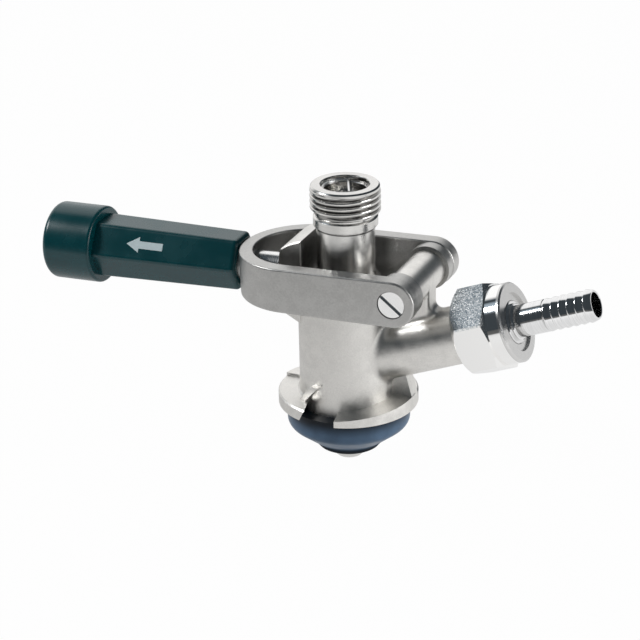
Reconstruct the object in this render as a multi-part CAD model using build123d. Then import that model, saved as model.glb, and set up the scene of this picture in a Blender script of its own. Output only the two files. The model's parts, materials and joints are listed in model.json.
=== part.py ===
"""Keg coupler of the European bayonet kind, with a side lever and a sprung latch in its grip.

Millimetres, +Z up. The origin is the centre of the bayonet flange's underside, on the probe's axis.
+X points to the gas inlet and the lever's pivot, -X to the grip. The lever is modelled down and
latched, which is the tapped state.
"""
import os
from math import cos, radians, sin, sqrt, tan

from build123d import *

# Bayonet flange and barrel of the cast body
FLANGE_R = 23.2
FLANGE_T = 4.0
BARREL_R = 16.0
BARREL_TOP = 35.5
CUP_R = 12.2
CUP_DEPTH = 1.2
CHAMBER_R = 9.0
NOTCH_START = -112.0
NOTCH_END = -80.0
NOTCH_LEAN = 25.0
NOTCH_WALL_TURN = 34.0
RAMP_END = -4.6
RAMP_LOW = 2.2
RAMP_HIGH = 4.8
RAMP_STEPS = 8
STOP_TOP = 10.6
STOP_SPAN = 13.0
RIB_TOP = 10.4
RIB_R = 17.9
RIB_W = 2.0
RIB_LEAN = 43.0
RIB_TURN = -112.5
RIB_MID = 8.3
FLANGE_EDGE = 0.5
FLANGE_FILLET = 1.4

# Lever pivot, knuckle and the pillar that carries it
PIVOT_X = 23.5
PIVOT_Z = 45.2
KNUCKLE_R = 6.2
KNUCKLE_HALF = 11.5
PILLAR_HALF = 4.0
PILLAR_EDGE = 1.2
PILLAR_FLARE = 2.5
SCREW_R = 3.0
SCREW_HEAD_R = 4.35
SCREW_HEAD_T = 1.8
SCREW_THREAD_R = 2.0
SCREW_SPLIT = 6.0
HEAD_SINK = 0.4
BUSH_WALL = 1.4
BUSH_FLANGE_R = 5.9
BUSH_FLANGE_T = 0.35
SLOT_W = 1.6
SLOT_DEPTH = 0.9
SLOT_TURN = 40.0

# Strike tower behind the latch
TOWER_HALF = 10.2
TOWER_INNER_X = -11.6
STRIKE_R = 43.4
STRIKE_GAP = 0.3
TOWER_TOP = 57.8
TOWER_NOSE = 54.2
TOWER_NOSE_EDGE = 1.3
TOWER_CROWN = 0.5
TOWER_EDGE = 0.4
TOWER_FOOT = 32.0
TOWER_FOOT_SLOPE = 29.0

# Lever: lengths run from the pivot, before the lever is tilted
LEVER_TILT = 1.1
YOKE_HALF = 21.4
YOKE_WALL = 5.3
YOKE_FRONT = 59.4
YOKE_FRONT_WALL = 4.6
YOKE_END_R = 7.7
YOKE_FRONT_HALF = 7.3
YOKE_EDGE = 0.6
BOSS_R = 7.4
BOSS_HALF = 12.0
STEM_R = 6.5
STEM_END = 97.0
PIN_R = 2.5
PIN_DROP = 4.7
PIN_TIP = 8.3
PIN_SEAT = 2.9

# Latch bolt, spring and grip
BOLT_R = 4.4
ROD_R = 2.5
SHOULDER = 66.0
PLUG_LENGTH = 8.7
PLUG_R = 5.2
SPRING_WIRE_R = 0.45
SPRING_TURNS = 9
GRIP_START = 59.6
GRIP_SIDE_NEAR = 10.0
GRIP_SIDE_FAR = 10.9
GRIP_LENGTH = 51.8
GRIP_EDGE = 1.6
GRIP_BORE_SPARE = 3.0
SPIGOT_R = 8.5
SPIGOT_LENGTH = 5.5
CAP_R = 13.0
CAP_LENGTH = 18.0
CAP_EDGE = 2.0
CAP_CAVITY_R = 6.0
CAP_CAVITY_DEPTH = 8.0
WASHER_T = 1.0
NUT_FLATS = 8.0
NUT_T = 4.0

# Probe, and the groove that the drive pins run in
TIP_Z = -20.1
TIP_R = 5.0
TIP_EDGE = 0.8
PROBE_R = 7.6
PROBE_STEP = 6.0
GROOVE_PLAY = 0.35
DRIVE_FLANGE_R = 11.2
DRIVE_FLANGE_T = 2.5
UPPER_RIM_T = 0.65
FLARE_R = 10.4
COLUMN_R = 9.5
COLUMN_TOP = 61.7
DRINK_R = 3.5
DRINK_WIDE_R = 5.0
DRINK_WIDE_Z = 43.0

# Outlet fitting, G5/8
THREAD_R = 11.455
THREAD_START = 66.7
OUTLET_TOP = 75.6
OUTLET_RING_R = 10.65
OUTLET_MOUTH_R = 7.95
OUTLET_MOUTH_DEPTH = 2.0
OUTLET_BORE_R = 7.2
COLLAR_R = 10.5
COLLAR_T = 3.5
NECK_R = 9.9
OUTLET_SPIGOT_R = 7.4
OUTLET_SPIGOT_L = 7.5
SEAT_R = 4.0
SEAT_Z = 59.0
BALL_R = 6.0
WIRE_R = 0.45
WIRE_CORNER = 105.0
WIRE_SPAN = 225.0
WIRE_REACH = 4.2
WIRE_REACH_TURN = 310.0

# Gland bush and O-rings
BUSH_R = 10.5
BUSH_BOTTOM = 24.0
RING_R = 0.75
RING_LOW = 27.5
RING_STEP = 3.5

# Keg seal
SEAL_R = 20.4
SEAL_SIDE = 7.2
SEAL_BEND = 3.5
SEAL_CONE_R = 11.6
SEAL_CONE_Z = -14.0
SEAL_LIP_R = 10.3
SEAL_FLOOR = -3.0
SEAL_BOTTOM = -15.8
SEAL_BORE_R = 6.2
SEAL_NECK_R = 14.0
SEAL_NECK_H = 5.0

# Gas inlet: lengths run along its axis from the probe's axis
INLET_Z = 14.3
INLET_TILT = 20.6
INLET_R = 9.5
INLET_BOSS_END = 44.5
INLET_FILLET = 3.0
GAS_R = 4.5
SPIGOT_THREAD_R = 8.2
SPIGOT_END = 54.0
VALVE_R = 6.0
VALVE_START = 44.0
VALVE_FLANGE_S = 50.0
VALVE_FLANGE_T = 1.5
TAIL_WASHER_T = 1.2
TAIL_FLANGE_R = 8.1
TAIL_FLANGE_T = 2.7
UNION_START = 45.0
UNION_HEX_L = 11.7
UNION_CHAMFER_IN = 2.2
UNION_CHAMFER_OUT = 0.8
UNION_FLATS = 27.0
UNION_COLLAR_R = 12.95
UNION_COLLAR_EDGE = 0.5
UNION_TURN = 7.0
UNION_END = 62.2
UNION_FACE_R = 9.5
UNION_FACE_DEPTH = 0.8
TAIL_NECK_R = 7.0
TAIL_STEP_R = 6.0
SHANK_R = 5.2
SHANK_START = 62.9
SHANK_END = 73.0
BARBS = 6
BARB_PITCH = 2.75
BARB_CREST_R = 5.3
BARB_ROOT_R = 4.75
HOSE_BORE_R = 4.0

# Clearances
RUN = 0.05
SEATED = 0.02
EPS = 1.0


def turned(*points):
    """Solid of revolution about Z from a closed (radius, height) outline."""
    outline = Polyline(*[(r, 0, z) for r, z in points], close=True)
    return revolve(make_face(outline), Axis.Z)


def rod(radius, low, high):
    """Cylinder on Z between two heights."""
    return Pos(0, 0, low) * Cylinder(radius, high - low, align=(Align.CENTER, Align.CENTER, Align.MIN))


def block(x, y, z):
    """Box between pairs of limits."""
    size = [b - a for a, b in (x, y, z)]
    return Pos(*[(a + b) / 2 for a, b in (x, y, z)]) * Box(*size)


def hexagon(flats, low, high):
    """Hexagonal prism on Z, given across flats."""
    return Pos(0, 0, low) * extrude(RegularPolygon(flats / 2, 6, major_radius=False), high - low)


def across(shape):
    """Turn a shape made on Z to lie on the pivot's axis, its +Z towards +Y, in the lever's frame."""
    return Rot(-90, 0, 0) * shape


def along_lever(shape):
    """Turn a shape made on Z so that its height runs from the pivot towards the grip."""
    return Rot(0, -90, 0) * shape


def on_lever(shape):
    """Place a shape from the lever's frame, with its origin at the pivot, into the coupler."""
    return Pos(PIVOT_X, 0, PIVOT_Z) * (Rot(0, -LEVER_TILT, 0) * shape)


def on_inlet(shape):
    """Place a shape made on Z onto the gas inlet's axis."""
    return Pos(0, 0, INLET_Z) * (Rot(0, 90 - INLET_TILT, 0) * shape)


def sector(profile, start, end):
    """Revolve a (radius, height) outline between two azimuths."""
    outline = Polyline(*[(r, 0, z) for r, z in profile], close=True)
    return Rot(0, 0, start) * revolve(make_face(outline), Axis.Z, revolution_arc=end - start)


def pin_place():
    """Drive pin's centre in the lever's frame: level with the probe's axis when the lever is down."""
    x, z, turn = -PIVOT_X, -PIN_DROP, radians(LEVER_TILT)
    return x * cos(turn) + z * sin(turn), z * cos(turn) - x * sin(turn)


def ramp():
    """Bayonet ramp that climbs under the keg's lug, ruled between radial sections."""
    inner, outer = BARREL_R - EPS, FLANGE_R + 2 * EPS
    sections = []
    for step in range(RAMP_STEPS + 1):
        part = step / RAMP_STEPS
        top = RAMP_LOW + part * (RAMP_HIGH - RAMP_LOW)
        turn = NOTCH_END + part * (RAMP_END - NOTCH_END)
        face = make_face(Polyline((inner, 0, 0), (outer, 0, 0), (outer, 0, top), (inner, 0, top), close=True))
        sections.append(Rot(0, 0, turn) * face)
    return loft(sections, ruled=True) & rod(FLANGE_R, -EPS, 2 * RAMP_HIGH)


def notch_wall():
    """Cutter whose face is the flange's overhanging end wall at the notch."""
    reach = 2 * FLANGE_R
    cutter = block((-reach, reach), (0, reach), (-reach, reach))
    wall = Rot(0, 0, NOTCH_WALL_TURN) * (Rot(-NOTCH_LEAN, 0, 0) * cutter)
    return Rot(0, 0, NOTCH_START) * (Pos(FLANGE_R, 0, 0) * wall)


def stop_rib():
    """Leaning rib on the barrel that carries the end wall on above the flange."""
    bar = block((BARREL_R - EPS, FLANGE_R), (-RIB_W / 2, RIB_W / 2), (-RIB_TOP, RIB_TOP))
    bar = Rot(0, 0, RIB_TURN) * (Pos(0, 0, RIB_MID) * (Rot(-RIB_LEAN, 0, 0) * bar))
    return bar & rod(RIB_R, FLANGE_T / 2, RIB_TOP)


def half_flange():
    """One of the flange's two equal halves: ramp, full section with its end wall, and rib."""
    inner = BARREL_R - EPS
    full_end = NOTCH_START + 360
    fillet_r = BARREL_R + FLANGE_FILLET
    full = sector([(inner, 0), (FLANGE_R, 0), (FLANGE_R, FLANGE_T - FLANGE_EDGE),
                   (FLANGE_R - FLANGE_EDGE, FLANGE_T), (fillet_r, FLANGE_T),
                   (BARREL_R + 0.55 * FLANGE_FILLET, FLANGE_T + 0.12 * FLANGE_FILLET),
                   (BARREL_R + 0.12 * FLANGE_FILLET, FLANGE_T + 0.55 * FLANGE_FILLET),
                   (BARREL_R, FLANGE_T + FLANGE_FILLET), (inner, FLANGE_T + FLANGE_FILLET)],
                  RAMP_END + 180, full_end + NOTCH_LEAN)
    return full - notch_wall() + stop_rib() + ramp()


def stop_wall():
    """Wall at the end of the near ramp, below the gas inlet."""
    inner = BARREL_R - EPS
    profile = [(inner, 0), (FLANGE_R, 0), (FLANGE_R, RAMP_HIGH), (FLANGE_R - 4, STOP_TOP), (inner, STOP_TOP)]
    return sector(profile, RAMP_END, RAMP_END + STOP_SPAN)


def gusset():
    """Web between the stop wall and the gas inlet's boss."""
    lift = tan(radians(INLET_TILT))
    outer_x = FLANGE_R - 2.3
    top = INLET_Z + outer_x * lift
    outline = Polyline((0, 0, FLANGE_T), (FLANGE_R - 0.1, 0, FLANGE_T), (FLANGE_R - 0.1, 0, RAMP_HIGH),
                       (outer_x, 0, top - INLET_R), (outer_x, 0, top), (0, 0, INLET_Z), close=True)
    span = FLANGE_R * sin(radians(STOP_SPAN + RAMP_END))
    web = extrude(make_face(outline), amount=span, dir=(0, 1, 0))
    lip = extrude(make_face(outline), amount=FLANGE_R * sin(radians(-RAMP_END)), dir=(0, -1, 0))
    trim = Rot(0, 0, RAMP_END) * block((0, 2 * FLANGE_R), (0, FLANGE_R), (0, BARREL_TOP))
    return web + (lip & trim)


def on_strike(height):
    """X of the strike face at a height; the face is an arc about the pivot."""
    return PIVOT_X - sqrt(STRIKE_R ** 2 - (height - PIVOT_Z) ** 2)


def tower():
    """Strike tower: its crowned slope cams the latch bolt out, and its nose is rounded."""
    foot_drop = (TOWER_INNER_X - on_strike(TOWER_FOOT)) * tan(radians(TOWER_FOOT_SLOPE))
    foot, nose = (on_strike(TOWER_FOOT), TOWER_FOOT), (on_strike(TOWER_NOSE), TOWER_NOSE)
    crown = ((nose[0] + TOWER_INNER_X) / 2, (TOWER_NOSE + TOWER_TOP) / 2 + TOWER_CROWN)
    face = ThreePointArc(foot, (PIVOT_X - STRIKE_R, PIVOT_Z), nose)
    slope = ThreePointArc(nose, crown, (TOWER_INNER_X, TOWER_TOP))
    rest = Polyline((TOWER_INNER_X, TOWER_TOP), (TOWER_INNER_X, BARREL_TOP), (0, BARREL_TOP),
                    (0, TOWER_FOOT - foot_drop - 4), (TOWER_INNER_X, TOWER_FOOT - foot_drop), foot)
    side = make_face(face + slope + rest)
    side = fillet(side.vertices().sort_by_distance(Vector(*nose, 0))[0], TOWER_NOSE_EDGE)
    prism = extrude(Plane.XZ * side, amount=TOWER_HALF, both=True)
    limit = TOWER_HALF - 0.01
    rims = prism.edges().filter_by_position(Axis.Y, limit, TOWER_HALF + 1)
    rims += prism.edges().filter_by_position(Axis.Y, -TOWER_HALF - 1, -limit)
    above = [edge for edge in rims if edge.center().Z > BARREL_TOP - 6 and edge.center().X < TOWER_INNER_X + 0.1]
    return chamfer(above, TOWER_EDGE)


def knuckle():
    """Cross tube for the pivot."""
    return Pos(PIVOT_X, 0, PIVOT_Z) * across(rod(KNUCKLE_R, -KNUCKLE_HALF, KNUCKLE_HALF))


def curved(shape):
    """Edges of a shape that are not straight."""
    return [edge for edge in shape.edges() if edge.geom_type != GeomType.LINE]


def barrel_and_boss():
    """Barrel blended into the gas inlet's boss, and the boss into the knuckle's pillar."""
    core = rod(BARREL_R, 0, BARREL_TOP) + on_inlet(rod(INLET_R, 0, INLET_BOSS_END))
    core = fillet([edge for edge in curved(core) if edge.geom_type == GeomType.BSPLINE], INLET_FILLET)
    foot = INLET_Z + PIVOT_X * tan(radians(INLET_TILT))
    pillar = block((PIVOT_X - KNUCKLE_R, PIVOT_X + KNUCKLE_R), (-PILLAR_HALF, PILLAR_HALF), (foot, PIVOT_Z))
    pillar = fillet([e for e in pillar.edges().filter_by(Axis.Z) if e.center().X > PIVOT_X], PILLAR_EDGE)
    core += pillar
    low, high = foot + INLET_R / 4, PIVOT_Z - KNUCKLE_R
    reach = KNUCKLE_R + PILLAR_EDGE
    outer = [e for e in curved(core) if low < e.center().Z < high and 0 < e.center().X - PIVOT_X < reach
             and abs(e.center().Y) <= PILLAR_HALF]
    sides = [e for e in core.edges().filter_by(GeomType.LINE) if PILLAR_HALF - 0.01 < abs(e.center().Y)
             and abs(e.center().Y) < PILLAR_HALF + 0.01 and low - INLET_R / 2 < e.center().Z < high
             and e.bounding_box().size.X > KNUCKLE_R / 2]
    return fillet(outer + sides, PILLAR_FLARE)


def cast_body():
    """Cast body with its bores."""
    half = half_flange()
    flange = half + Rot(0, 0, 180) * half + stop_wall()
    body = barrel_and_boss() + flange + gusset() + tower() + knuckle()
    body = body + on_inlet(rod(SPIGOT_THREAD_R, 0, SPIGOT_END))
    body = body - rod(CHAMBER_R, -EPS, BUSH_BOTTOM + EPS)
    body = body - rod(BUSH_R, BUSH_BOTTOM, BARREL_TOP + EPS)
    body = body - rod(CUP_R, BARREL_TOP - CUP_DEPTH, BARREL_TOP + 0.01)
    body = body - rod(SEAL_NECK_R, -EPS, SEAL_NECK_H)
    body = body - on_inlet(rod(GAS_R, 0, SPIGOT_END + EPS))
    body = body - on_inlet(rod(VALVE_R, VALVE_START, SPIGOT_END + EPS))
    bush_bore = across(rod(SCREW_R + RUN + BUSH_WALL, -2 * KNUCKLE_HALF, 2 * KNUCKLE_HALF))
    return body - Pos(PIVOT_X, 0, PIVOT_Z) * bush_bore


def gland_bush():
    """Plastic bush that guides the probe, with two inner grooves for its O-rings."""
    top = BARREL_TOP - CUP_DEPTH
    bush = rod(BUSH_R - SEATED, BUSH_BOTTOM, top) - rod(PROBE_R + RUN, BUSH_BOTTOM - EPS, top + EPS)
    for level in (RING_LOW, RING_LOW + RING_STEP):
        bush -= rod(PROBE_R + 2 * RUN + 2 * RING_R, level - RING_R - RUN, level + RING_R + RUN)
    return bush


def gland_o_rings():
    """The two O-rings round the probe."""
    centre = PROBE_R + 2 * RUN + RING_R
    return Compound([Pos(0, 0, level) * Torus(centre, RING_R) for level in (RING_LOW, RING_LOW + RING_STEP)])


def keg_seal():
    """Rubber bowl that seats in the keg's neck, with a neck pushed into the body."""
    outline = Polyline((SEAL_R, 0), (SEAL_R, -SEAL_SIDE), (SEAL_CONE_R, SEAL_CONE_Z),
                       (SEAL_LIP_R + 0.9, SEAL_CONE_Z - 0.7), (SEAL_LIP_R, SEAL_BOTTOM),
                       (SEAL_BORE_R, SEAL_BOTTOM), (SEAL_BORE_R, SEAL_FLOOR), (CHAMBER_R, 0),
                       (CHAMBER_R, SEAL_NECK_H), (SEAL_NECK_R - SEATED, SEAL_NECK_H),
                       (SEAL_NECK_R - SEATED, 0), close=True)
    side = make_face(outline)
    side = fillet(side.vertices().sort_by_distance(Vector(SEAL_R, -SEAL_SIDE, 0))[0], SEAL_BEND)
    return revolve(Plane.XZ * side, Axis.Z)


def probe_tube():
    """Probe: tip, guided barrel, drive groove, flared upper flange and column."""
    pin_z = PIVOT_Z - PIN_DROP
    low = pin_z - PIN_R - GROOVE_PLAY
    high = pin_z + PIN_R + GROOVE_PLAY
    skin = turned((0, TIP_Z), (TIP_R - TIP_EDGE, TIP_Z), (TIP_R, TIP_Z + TIP_EDGE),
                  (TIP_R, PROBE_STEP - (PROBE_R - TIP_R)), (PROBE_R, PROBE_STEP),
                  (PROBE_R, low - DRIVE_FLANGE_T), (DRIVE_FLANGE_R, low - DRIVE_FLANGE_T),
                  (DRIVE_FLANGE_R, low), (PROBE_R, low), (PROBE_R, high), (DRIVE_FLANGE_R, high),
                  (DRIVE_FLANGE_R, high + UPPER_RIM_T), (FLARE_R, high + 2 * UPPER_RIM_T),
                  (COLUMN_R, high + UPPER_RIM_T + 2.7), (COLUMN_R, COLUMN_TOP), (0, COLUMN_TOP))
    socket = OUTLET_SPIGOT_R + SEATED
    seat = COLUMN_TOP - OUTLET_SPIGOT_L
    bore = turned((0, TIP_Z - EPS), (DRINK_R, TIP_Z - EPS), (DRINK_R, DRINK_WIDE_Z - 1.5),
                  (DRINK_WIDE_R, DRINK_WIDE_Z), (DRINK_WIDE_R, seat - 2 * RING_R),
                  (socket, seat - 2 * RING_R), (socket, COLUMN_TOP + EPS), (0, COLUMN_TOP + EPS))
    return skin - bore


def outlet_fitting():
    """Threaded outlet that screws into the probe's column."""
    skin = turned((0, COLUMN_TOP - OUTLET_SPIGOT_L), (OUTLET_SPIGOT_R, COLUMN_TOP - OUTLET_SPIGOT_L),
                  (OUTLET_SPIGOT_R, COLUMN_TOP), (COLLAR_R, COLUMN_TOP),
                  (COLLAR_R, COLUMN_TOP + COLLAR_T), (NECK_R, COLUMN_TOP + COLLAR_T + 0.3),
                  (NECK_R, THREAD_START - 0.1), (THREAD_R, THREAD_START),
                  (THREAD_R, OUTLET_TOP - 0.8), (OUTLET_RING_R, OUTLET_TOP), (0, OUTLET_TOP))
    low = COLUMN_TOP - OUTLET_SPIGOT_L - EPS
    bore = turned((0, low), (SEAT_R, low), (SEAT_R, SEAT_Z),
                  (OUTLET_BORE_R, SEAT_Z + OUTLET_BORE_R - SEAT_R),
                  (OUTLET_BORE_R, OUTLET_TOP - OUTLET_MOUTH_DEPTH),
                  (OUTLET_MOUTH_R, OUTLET_TOP - OUTLET_MOUTH_DEPTH),
                  (OUTLET_MOUTH_R, OUTLET_TOP + EPS), (0, OUTLET_TOP + EPS))
    return skin - bore


def outlet_o_ring():
    """O-ring between the fitting's spigot and the probe's shoulder."""
    return Pos(0, 0, COLUMN_TOP - OUTLET_SPIGOT_L - RING_R) * Torus(OUTLET_SPIGOT_R - RING_R, RING_R)


def check_ball():
    """Ball of the outlet's check valve, resting in its cone."""
    touch_r = BALL_R * sin(radians(45))
    centre = SEAT_Z + touch_r - SEAT_R + BALL_R * cos(radians(45)) + RUN
    return Pos(0, 0, centre) * Sphere(BALL_R)


def ball_retainer():
    """Bent wire over the ball: a part ring on the ledge of the mouth, then a leg across it."""
    ring_r = OUTLET_MOUTH_R - WIRE_R
    level = OUTLET_TOP - OUTLET_MOUTH_DEPTH + WIRE_R + SEATED
    turns = [radians(WIRE_CORNER + share * WIRE_SPAN) for share in (0, 0.5, 1)]
    arc = ThreePointArc(*[(ring_r * cos(a), ring_r * sin(a), level) for a in turns])
    corner = (ring_r * cos(turns[0]), ring_r * sin(turns[0]), level)
    reach = radians(WIRE_REACH_TURN)
    leg = Line(corner, (WIRE_REACH * cos(reach), WIRE_REACH * sin(reach), level))
    wire = sweep(Plane(arc @ 0, z_dir=arc % 0) * Circle(WIRE_R), arc)
    leg_wire = sweep(Plane(leg @ 0, z_dir=leg % 0) * Circle(WIRE_R), leg)
    return wire + leg_wire + Pos(*corner) * Sphere(WIRE_R)


def yoke_plan():
    """Plan of the yoke: two arms joined round the front."""
    front_r = YOKE_HALF
    outer = Pos(-YOKE_FRONT + front_r, 0) * Circle(front_r)
    reach = YOKE_END_R + EPS
    bar = YOKE_FRONT - front_r + reach
    outer += Pos(reach - bar / 2, 0) * Rectangle(bar, 2 * YOKE_HALF)
    inner_r = YOKE_HALF - YOKE_WALL
    centre = -YOKE_FRONT + YOKE_FRONT_WALL + inner_r
    bar = reach + EPS - centre
    inner = Pos(centre, 0) * Circle(inner_r) + Pos(centre + bar / 2, 0) * Rectangle(bar, 2 * inner_r)
    return outer - inner


def yoke_side():
    """Side view of an arm: a bar that ends in a round eye."""
    bar = Polyline((0, 0, YOKE_END_R), (-YOKE_FRONT - EPS, 0, YOKE_FRONT_HALF),
                   (-YOKE_FRONT - EPS, 0, -YOKE_FRONT_HALF), (0, 0, -YOKE_END_R), close=True)
    wide = 2 * YOKE_HALF
    return extrude(make_face(bar), amount=wide, dir=(0, 1, 0), both=True) + across(rod(YOKE_END_R, -wide, wide))


def lever_yoke():
    """Cast yoke with its pivot bosses and the hollow stem that the grip slides on."""
    tall = YOKE_END_R + EPS
    yoke = extrude(yoke_plan(), amount=tall, both=True) & yoke_side()
    yoke = fillet(yoke.edges(), YOKE_EDGE)
    arm_inner = YOKE_HALF - YOKE_WALL
    for side in (-1, 1):
        low, high = sorted((side * BOSS_HALF, side * (arm_inner + 0.5)))
        yoke += across(rod(BOSS_R, low, high))
    yoke += along_lever(rod(STEM_R, YOKE_FRONT - YOKE_FRONT_WALL / 2, STEM_END))
    yoke -= along_lever(rod(BOLT_R + RUN, YOKE_FRONT - 2 * YOKE_FRONT_WALL, plug_start()))
    yoke -= along_lever(rod(PLUG_R, plug_start(), STEM_END + EPS))
    yoke -= across(rod(SCREW_R + RUN, -2 * YOKE_HALF, 2 * YOKE_HALF))
    floor = YOKE_HALF - HEAD_SINK - SCREW_HEAD_T
    yoke -= across(rod(SCREW_HEAD_R + 0.25, floor, YOKE_HALF + EPS))
    yoke -= across(rod(SCREW_HEAD_R + 0.25, -YOKE_HALF - EPS, -floor))
    x, z = pin_place()
    hole = arm_inner + PIN_SEAT
    return yoke - Pos(x, 0, z) * across(rod(PIN_R + SEATED, -hole, hole))


def drive_pin(side):
    """Pin pressed into an arm, running in the probe's groove."""
    x, z = pin_place()
    low, high = sorted((side * PIN_TIP, side * (YOKE_HALF - YOKE_WALL + PIN_SEAT)))
    return on_lever(Pos(x, 0, z) * across(rod(PIN_R, low, high)))


def screw_slot(depth_from, depth_to):
    """Cutter for a screwdriver slot across a head on the pivot's axis."""
    low, high = sorted((depth_from, depth_to))
    return Rot(0, SLOT_TURN, 0) * block((-2 * SCREW_HEAD_R, 2 * SCREW_HEAD_R), (low, high),
                                        (-SLOT_W / 2, SLOT_W / 2))


def pivot_screw():
    """Slotted pivot screw, its head sunk in the near arm."""
    face = YOKE_HALF - HEAD_SINK
    head = rod(SCREW_HEAD_R, -face, -face + SCREW_HEAD_T)
    screw = head + rod(SCREW_R, -face, SCREW_SPLIT) + rod(SCREW_THREAD_R, 0, face - 2 * SCREW_HEAD_T)
    return on_lever(across(screw) - screw_slot(-face - EPS, -face + SLOT_DEPTH))


def pivot_nut():
    """Slotted sleeve nut that takes the pivot screw's thread in the far arm."""
    face = YOKE_HALF - HEAD_SINK
    nut = rod(SCREW_HEAD_R, face - SCREW_HEAD_T, face) + rod(SCREW_R, SCREW_SPLIT, face)
    nut -= rod(SCREW_THREAD_R + SEATED, SCREW_SPLIT - EPS, face - 2 * SCREW_HEAD_T + RUN)
    return on_lever(across(nut) - screw_slot(face - SLOT_DEPTH, face + EPS))


def pivot_bushes():
    """Two flanged bushes in the knuckle, one from each end."""
    bore = SCREW_R + RUN
    sleeve = rod(bore + BUSH_WALL - SEATED, EPS / 2, KNUCKLE_HALF)
    bush = sleeve + rod(BUSH_FLANGE_R, KNUCKLE_HALF, KNUCKLE_HALF + BUSH_FLANGE_T)
    bush -= rod(bore, 0, KNUCKLE_HALF + EPS)
    pair = [across(bush), Rot(0, 0, 180) * across(bush)]
    return Compound([Pos(PIVOT_X, 0, PIVOT_Z) * one for one in pair])


def bolt_end():
    """Distance from the pivot to the end of the latch bolt's rod."""
    return GRIP_START + GRIP_LENGTH + SPIGOT_LENGTH + WASHER_T + NUT_T + 0.8


def latch_bolt():
    """Latch bolt: polished land at the strike, thinner rod back to the grip's nut."""
    tip = STRIKE_R + STRIKE_GAP
    land = turned((0, tip), (BOLT_R - 0.5, tip), (BOLT_R, tip + 0.5), (BOLT_R, SHOULDER),
                  (ROD_R, SHOULDER), (ROD_R, bolt_end() - 0.5), (ROD_R - 0.5, bolt_end()), (0, bolt_end()))
    return on_lever(along_lever(land))


def plug_start():
    """Distance from the pivot to the plug's inner end."""
    return STEM_END - PLUG_LENGTH


def latch_spring():
    """Compression spring between the bolt's shoulder and the guide plug."""
    radius = (BOLT_R + ROD_R) / 2
    low, high = SHOULDER + SPRING_WIRE_R, plug_start() - SPRING_WIRE_R
    path = Pos(0, 0, low) * Helix((high - low) / SPRING_TURNS, high - low, radius)
    wire = sweep(Plane(path @ 0, z_dir=path % 0) * Circle(SPRING_WIRE_R), path, is_frenet=True)
    return on_lever(along_lever(wire))


def stem_plug():
    """Plug screwed into the stem's end, which guides the rod and carries the spring."""
    plug = rod(PLUG_R - SEATED, plug_start(), STEM_END) - rod(ROD_R + RUN, plug_start() - EPS, STEM_END + EPS)
    return on_lever(along_lever(plug))


def grip():
    """Hexagonal grip that widens towards its cap, sliding on the stem."""
    far = GRIP_START + GRIP_LENGTH
    near_face = Pos(0, 0, GRIP_START) * (Rot(0, 0, 90) * RegularPolygon(GRIP_SIDE_NEAR, 6))
    far_face = Pos(0, 0, far) * (Rot(0, 0, 90) * RegularPolygon(GRIP_SIDE_FAR, 6))
    body = loft([near_face, far_face])
    long_edges = [e for e in body.edges() if e.bounding_box().size.Z > GRIP_LENGTH / 2]
    body = fillet(long_edges, GRIP_EDGE)
    body = fillet(body.faces().sort_by(Axis.Z)[0].edges(), GRIP_EDGE)
    body += rod(SPIGOT_R, far - EPS, far + SPIGOT_LENGTH)
    body -= rod(STEM_R + RUN, GRIP_START - EPS, STEM_END + GRIP_BORE_SPARE)
    body -= rod(ROD_R + RUN, GRIP_START, far + SPIGOT_LENGTH + EPS)
    return on_lever(along_lever(body))


def grip_cap():
    """Round end cap with a hollow for the nut."""
    start = GRIP_START + GRIP_LENGTH
    end = start + CAP_LENGTH
    cap = fillet(rod(CAP_R, start, end).edges().sort_by(Axis.Z)[-1], CAP_EDGE)
    cap = fillet(cap.faces().sort_by(Axis.Z)[0].edges(), CAP_EDGE / 2)
    cap -= rod(SPIGOT_R + SEATED, start - EPS, start + SPIGOT_LENGTH)
    cap -= rod(CAP_CAVITY_R, start, start + SPIGOT_LENGTH + CAP_CAVITY_DEPTH)
    return on_lever(along_lever(cap))


def grip_washer():
    """Washer under the grip's nut."""
    start = GRIP_START + GRIP_LENGTH + SPIGOT_LENGTH
    washer = rod(CAP_CAVITY_R - 1, start, start + WASHER_T) - rod(ROD_R + RUN, start - EPS, start + 2 * EPS)
    return on_lever(along_lever(washer))


def bolt_nut():
    """Hexagon nut that holds the grip on the bolt's rod."""
    start = GRIP_START + GRIP_LENGTH + SPIGOT_LENGTH + WASHER_T
    nut = hexagon(NUT_FLATS, start, start + NUT_T) - rod(ROD_R + SEATED, start - EPS, start + 2 * NUT_T)
    return on_lever(along_lever(nut))


def gas_check_valve():
    """Duckbill valve: a round flange and a bill flattened to a slit."""
    flange = rod(VALVE_R - SEATED, VALVE_FLANGE_S, VALVE_FLANGE_S + VALVE_FLANGE_T)
    base = Pos(0, 0, VALVE_FLANGE_S) * Circle(GAS_R - 0.6)
    lip = Pos(0, 0, VALVE_START + 0.5) * Rectangle(1.2, 2 * (GAS_R - 1.2))
    bill = loft([lip, base])
    hollow = loft([Pos(0, 0, VALVE_START) * Rectangle(0.3, 2 * (GAS_R - 2.0)),
                   Pos(0, 0, VALVE_FLANGE_S + VALVE_FLANGE_T + 0.01) * Circle(GAS_R - 1.6)])
    return on_inlet(flange + bill - hollow)


def valve_ring():
    """Ring that holds the duckbill's flange in the boss."""
    start = VALVE_FLANGE_S + VALVE_FLANGE_T
    return on_inlet(rod(VALVE_R - SEATED, start, SPIGOT_END) - rod(GAS_R, start - EPS, SPIGOT_END + EPS))


def tail_washer():
    """Flat washer between the boss and the hose tail."""
    end = SPIGOT_END + TAIL_WASHER_T - SEATED
    return on_inlet(rod(TAIL_FLANGE_R, SPIGOT_END, end) - rod(GAS_R, SPIGOT_END - EPS, end + EPS))


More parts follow.
